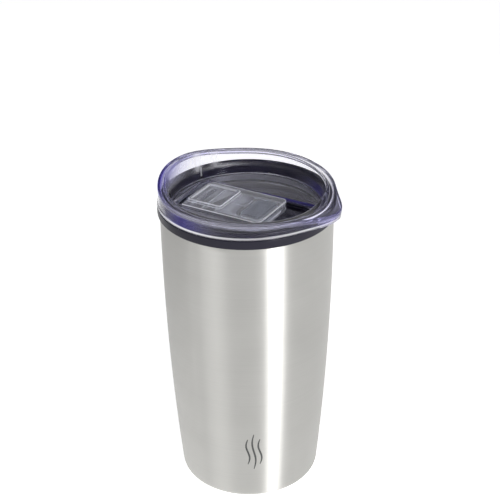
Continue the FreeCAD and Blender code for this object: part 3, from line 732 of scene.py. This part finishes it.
def foot_rubber():
    """Matt black rubber with a fine grain."""
    m = Nodes("foot_rubber")
    grain = m.noise(3200, detail=3)
    m.colour(grain, (0.020, 0.020, 0.022), (0.038, 0.038, 0.040))
    m.roughness(grain, 0.7, 0.9)
    m.bump(grain, 0.03, 0.8)
    return m.material


GLOW_AND_SHADE_SHARE, HIGHLIGHT_SHARE = 0.3, 0.8   # share of a fully marked edge that shows painted glow and shade, and painted highlight, instead of clear plastic
# Colour of the painted highlights
HIGHLIGHT_WHITE = (0.95, 0.95, 1.0)
BLUE_GLOSS = 1.15            # reflections in clear plastic are bluer by this much
SHADE = 0.92                 # light left after one wall of clear plastic, for its soft shadow


def clear_plastic(name, clear, glow_and_shade_colour, absorption, density, haze_and_sheen, gloss, roughness):
    """Clear styrene that lamps shine through, from clear to a second colour of painted glow and shade, and to
    painted white highlights, by its two marks.
    """
    m = Nodes(name)
    ripple = m.noise(40, detail=1)
    glow_and_shade = m.add("ShaderNodeAttribute", attribute_name="glow_and_shade").outputs["Fac"]
    highlight = m.add("ShaderNodeAttribute", attribute_name="highlight").outputs["Fac"]
    m.set(IOR=1.5, Specular_IOR_Level=0.3, Specular_Tint=(gloss, gloss, BLUE_GLOSS * gloss, 1))
    whiten = m.add("ShaderNodeMix", data_type="RGBA")
    m.link(highlight, whiten.inputs["Factor"])
    m.link(m.colours(glow_and_shade, clear, glow_and_shade_colour), whiten.inputs["A"])
    whiten.inputs["B"].default_value = (*HIGHLIGHT_WHITE, 1)
    m.link(whiten.outputs["Result"], m.shader.inputs["Base Color"])
    # Transmission falls with the square of the painted glow and shade, and with the painted highlight
    clearness = m.add("ShaderNodeMath", operation="MULTIPLY_ADD")
    m.link(highlight, clearness.inputs[0])
    clearness.inputs[1].default_value = -HIGHLIGHT_SHARE
    square = m.add("ShaderNodeMath", operation="POWER")
    m.link(glow_and_shade, square.inputs[0])
    square.inputs[1].default_value = 2
    m.link(m.range(square.outputs["Value"], 1 - haze_and_sheen, 1 - haze_and_sheen - GLOW_AND_SHADE_SHARE, 0, 1), clearness.inputs[2])
    m.link(clearness.outputs["Value"], m.shader.inputs["Transmission Weight"])
    m.roughness(ripple, *roughness)
    m.bump(ripple, 0.02, 0.1)
    # Shadow rays go straight through, so the plastic casts a soft shadow
    through = m.add("ShaderNodeBsdfTransparent")
    through.inputs["Color"].default_value = (*(SHADE * c for c in clear), 1)
    mix = m.add("ShaderNodeMixShader")
    m.link(m.add("ShaderNodeLightPath").outputs["Is Shadow Ray"], mix.inputs["Fac"])
    m.link(m.shader.outputs["BSDF"], mix.inputs[1])
    m.link(through.outputs["BSDF"], mix.inputs[2])
    m.link(mix.outputs["Shader"], m.output.inputs["Surface"])
    volume = m.add("ShaderNodeVolumeAbsorption")
    volume.inputs["Color"].default_value = (*absorption, 1)
    volume.inputs["Density"].default_value = density
    m.link(volume.outputs["Volume"], m.output.inputs["Volume"])
    return m.material


def silicone():
    """Milky translucent silicone."""
    m = Nodes("silicone")
    grain = m.noise(1500, detail=3)
    m.set(Transmission_Weight=0.9, IOR=1.41, Specular_IOR_Level=0.3)
    m.colour(grain, (0.80, 0.82, 0.88), (0.86, 0.87, 0.92))
    m.roughness(grain, 0.42, 0.55)
    m.bump(grain, 0.01, 0.4)
    return m.material


def etched_grey():
    """Steel darkened by etching."""
    m = Nodes("etched_grey")
    grain = m.noise(4000, detail=2)
    m.set(Metallic=0.6)
    m.colour(grain, (0.06, 0.06, 0.06), (0.1, 0.1, 0.1))
    m.roughness(grain, 0.5, 0.65)
    return m.material


def paint(piece, material):
    """Gives a piece its one material."""
    piece.data.materials.clear()
    piece.data.materials.append(material)


# ---------------------------------------------------------------- the etched mark

MARK_ANGLE_DEG = -56.5       # round the wall, 3 degrees right of the camera
MARK_LOW_Z, MARK_HIGH_Z = 20.0, 43.0
MARK_SPACING = 3.1
MARK_STROKE = 1.0
MARK_SWAY = 0.9
MARK_STROKES = ((-1, 0.72), (0, 1.0), (1, 0.72))   # column, and share of the full height
MARK_STEPS = 60
MARK_THICKNESS = 0.03


def steel_radius(z):
    """Outer radius of the steel wall at a height."""
    profile = [(r, height) for r, height, _ in side_profile(0) if height <= STEEL_TOP_Z]
    heights = [height for _, height in profile]
    return np.interp(z, heights, [r for r, _ in profile])


def make_mark():
    """Three rising wavy strokes, a plain sign for a hot drink, lying on the steel."""
    points, faces = [], []
    middle = (MARK_LOW_Z + MARK_HIGH_Z) / 2
    for column, share in MARK_STROKES:
        half = (MARK_HIGH_Z - MARK_LOW_Z) / 2 * share
        start = len(points)
        for k in range(MARK_STEPS + 1):
            t = k / MARK_STEPS
            z = middle - half + 2 * half * t
            across = column * MARK_SPACING + MARK_SWAY * math.sin(2 * math.pi * t)
            width = MARK_STROKE * (0.25 + 0.75 * math.sin(math.pi * t) ** 0.5)
            for depth in (-MARK_THICKNESS, MARK_THICKNESS):
                radius = float(steel_radius(z)) + depth
                for side in (-0.5, 0.5):
                    angle = math.radians(MARK_ANGLE_DEG) + (across + side * width) / radius
                    points.append((radius * math.cos(angle), radius * math.sin(angle), z))
        for k in range(MARK_STEPS):
            a, b = start + 4 * k, start + 4 * (k + 1)
            faces += [(a + 2, a + 3, b + 3, b + 2), (a, b, b + 1, a + 1), (a, a + 2, b + 2, b),
                      (a + 1, b + 1, b + 3, a + 3)]
        end = start + 4 * MARK_STEPS
        faces += [(start, start + 1, start + 3, start + 2), (end, end + 2, end + 3, end + 1)]
    return mesh_object("steam_mark", points, faces)


# ---------------------------------------------------------------- stage, lights and camera

# Upright soft boxes: name, degrees right of the camera, distance, width and height in metres, radiance
STANDING_LIGHTS = (("strip_right", 35, 1.0, 0.35, 1.2, 7), ("box_left", -50, 1.2, 0.42, 1.2, 0.6))
CLEAR_OF_FLOOR = 0.01
KEY_DISTANCE, KEY_SIZE, KEY_RADIANCE = 1.2, 0.2, 12
KEY_DIRECTION = (-50, 60)    # degrees right of the camera, and elevation
KEY_AIM = (0, 0, 0.15)

# A grey card beside the tumbler, hidden from the camera, that the steel's left edge mirrors
CARD_HALF_WIDTH, CARD_LOW_Z, CARD_HIGH_Z = 185, 2, 350
CARD_DIRECTION_DEG, CARD_DISTANCE = -105, 0.32   # degrees right of the camera, and metres

CAMERA_AZIMUTH_DEG = 30.5
CAMERA_ELEVATION_DEG = 31.834
CAMERA_DISTANCE = 662.47
CAMERA_TARGET_Z = 80.0
CAMERA_ROLL_DEG = 0.7447
CAMERA_PAN_DEG = -0.0699
CAMERA_TILT_DEG = 3.6367
CAMERA_LENS, SENSOR_WIDTH = 91.909, 36


def make_camera():
    """The camera looks at the axis, then is rolled, panned and tilted."""
    azimuth, elevation = math.radians(CAMERA_AZIMUTH_DEG), math.radians(CAMERA_ELEVATION_DEG)
    back = Vector((math.sin(azimuth) * math.cos(elevation), -math.cos(azimuth) * math.cos(elevation),
                   math.sin(elevation)))
    forward, right = -back, Vector((math.cos(azimuth), math.sin(azimuth), 0))
    up = right.cross(forward)
    for degrees, axis in ((CAMERA_ROLL_DEG, "forward"), (CAMERA_PAN_DEG, "up"), (CAMERA_TILT_DEG, "right")):
        about = {"forward": forward, "up": up, "right": right}[axis]
        turn = Matrix.Rotation(math.radians(degrees), 3, about)
        forward, right, up = turn @ forward, turn @ right, turn @ up
    camera = bpy.data.objects.new("camera", bpy.data.cameras.new("camera"))
    camera.data.lens = CAMERA_LENS
    camera.data.sensor_width = SENSOR_WIDTH
    camera.data.clip_start, camera.data.clip_end = 0.01, 20
    pose = Matrix((right, up, -forward)).transposed().to_4x4()
    pose.translation = (Vector((0, 0, CAMERA_TARGET_Z)) + back * CAMERA_DISTANCE) * MM
    camera.matrix_world = pose
    bpy.context.scene.collection.objects.link(camera)
    bpy.context.scene.camera = camera


def view_direction(right_of_camera_deg, elevation_deg):
    """A direction from the tumbler, given by its angle to the right of the camera and its height."""
    angle = math.radians(CAMERA_AZIMUTH_DEG - 90 + right_of_camera_deg)
    up = math.radians(elevation_deg)
    return Vector((math.cos(angle) * math.cos(up), math.sin(angle) * math.cos(up), math.sin(up)))


def area_light(name, place, aim, width, height, radiance):
    """A soft box at a place in metres. Radiance 1 is the white of the picture."""
    data = bpy.data.lights.new(name, "AREA")
    data.shape = "RECTANGLE"
    data.size, data.size_y = width, height
    data.energy = radiance * math.pi * width * height
    lamp = bpy.data.objects.new(name, data)
    lamp.location = place
    lamp.rotation_euler = (Vector(place) - Vector(aim)).to_track_quat("Z", "Y").to_euler()
    bpy.context.scene.collection.objects.link(lamp)


def standing_light(name, right_of_camera_deg, distance, width, height, radiance):
    """An upright soft box that stands on the floor and faces the tumbler."""
    place = view_direction(right_of_camera_deg, 0) * distance + Vector((0, 0, height / 2 + CLEAR_OF_FLOOR))
    area_light(name, place, (0, 0, place.z), width, height, radiance)


FLOOR_REACH = 4000           # from the tumbler to each side of the floor
FLOOR_GLOW = 0.72            # the floor is a light table
HORIZON, CEILING = 0.85, 0.1
CEILING_FROM, CEILING_TO = 0.25, 0.5   # height of the direction, as the sine of its elevation


def make_surround():
    """Pale walls under a dark ceiling."""
    world = bpy.data.worlds.new("surround")
    world.use_nodes = True
    tree = world.node_tree
    direction = tree.nodes.new("ShaderNodeTexCoord").outputs["Generated"]
    height = tree.nodes.new("ShaderNodeSeparateXYZ")
    fade = tree.nodes.new("ShaderNodeMapRange")
    fade.inputs["From Min"].default_value, fade.inputs["From Max"].default_value = CEILING_FROM, CEILING_TO
    fade.inputs["To Min"].default_value, fade.inputs["To Max"].default_value = HORIZON, CEILING
    tree.links.new(direction, height.inputs["Vector"])
    tree.links.new(height.outputs["Z"], fade.inputs["Value"])
    background = tree.nodes["Background"]
    background.inputs["Color"].default_value = (1, 1, 1, 1)
    tree.links.new(fade.outputs["Result"], background.inputs["Strength"])
    bpy.context.scene.world = world


def make_stage():
    """A plain pale floor, a plain surround, soft boxes and the card."""
    r = FLOOR_REACH
    floor = mesh_object("floor", [(-r, -r, 0), (r, -r, 0), (r, r, 0), (-r, r, 0)], [(0, 1, 2, 3)])
    m = Nodes("floor_white")
    m.colour(m.noise(3, detail=2), (0.89, 0.89, 0.89), (0.91, 0.91, 0.91))
    m.set(Roughness=0.9, Specular_IOR_Level=0.1, Emission_Color=(1, 1, 1, 1), Emission_Strength=FLOOR_GLOW)
    paint(floor, m.material)
    make_surround()
    for light in STANDING_LIGHTS:
        standing_light(*light)
    key_place = view_direction(*KEY_DIRECTION) * KEY_DISTANCE
    area_light("key", key_place, KEY_AIM, KEY_SIZE, KEY_SIZE, KEY_RADIANCE)
    w, low, high = CARD_HALF_WIDTH, CARD_LOW_Z, CARD_HIGH_Z
    card = mesh_object("dark_card", [(-w, 0, low), (w, 0, low), (w, 0, high), (-w, 0, high)], [(0, 1, 2, 3)])
    place = view_direction(CARD_DIRECTION_DEG, 0)
    card.location = place * CARD_DISTANCE
    card.rotation_euler = (0, 0, math.atan2(place.y, place.x) + math.pi / 2)
    card.visible_camera = False
    grey = Nodes("dark_card")
    grey.colour(grey.noise(40), (0.5, 0.5, 0.5), (0.54, 0.54, 0.54))
    paint(card, grey.material)
    # Enough bounces for light that goes through both walls of the lid
    scene = bpy.context.scene
    scene.view_settings.view_transform = "Standard"
    scene.cycles.max_bounces = 16
    scene.cycles.transmission_bounces = 14
    scene.cycles.transparent_max_bounces = 24
    scene.cycles.glossy_bounces = 6


# ---------------------------------------------------------------- assembly

make_stage()
make_camera()

STEEL, PRESSED, LINER, RUBBER = brushed_steel(), pressed_steel(), liner_plastic(), foot_rubber()
# The lid's second colour is a painted violet glow, the slider's a painted shade
LID_CLEAR = clear_plastic("lid_clear", clear=(0.985, 0.985, 0.998), glow_and_shade_colour=(0.08, 0.06, 0.48),
                          absorption=(0.5, 0.45, 0.92), density=25, haze_and_sheen=0.0, gloss=0.16,
                          roughness=(0.005, 0.015))
SLIDER_CLEAR = clear_plastic("slider_clear", clear=(0.93, 0.94, 0.97), glow_and_shade_colour=(0.2, 0.2, 0.34),
                             absorption=(0.6, 0.62, 0.9), density=10, haze_and_sheen=0.08, gloss=0.4,
                             roughness=(0.005, 0.02))
SILICONE = silicone()

for piece, body, node, slot_name, material in (
    (make_steel_wall(), "cup", "outer_shell", "steel", STEEL),
    (make_liner(), "cup", "inner_liner", "liner_plastic", LINER),
    (make_lid(), "lid", "lid", "clear_plastic", LID_CLEAR),
    (make_slider(), "slider", "slider", "slider_plastic", SLIDER_CLEAR),
):
    paint(piece, material)
    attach(piece, body)
    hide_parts(node)

for node, material in (("base_plate", PRESSED), ("foot_pad", RUBBER), ("shell_seal", RUBBER),
                       ("lid_gasket", SILICONE), ("slider_stopper", SILICONE)):
    paint(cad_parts[node], material)

mark = make_mark()
paint(mark, etched_grey())
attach(mark, "cup")
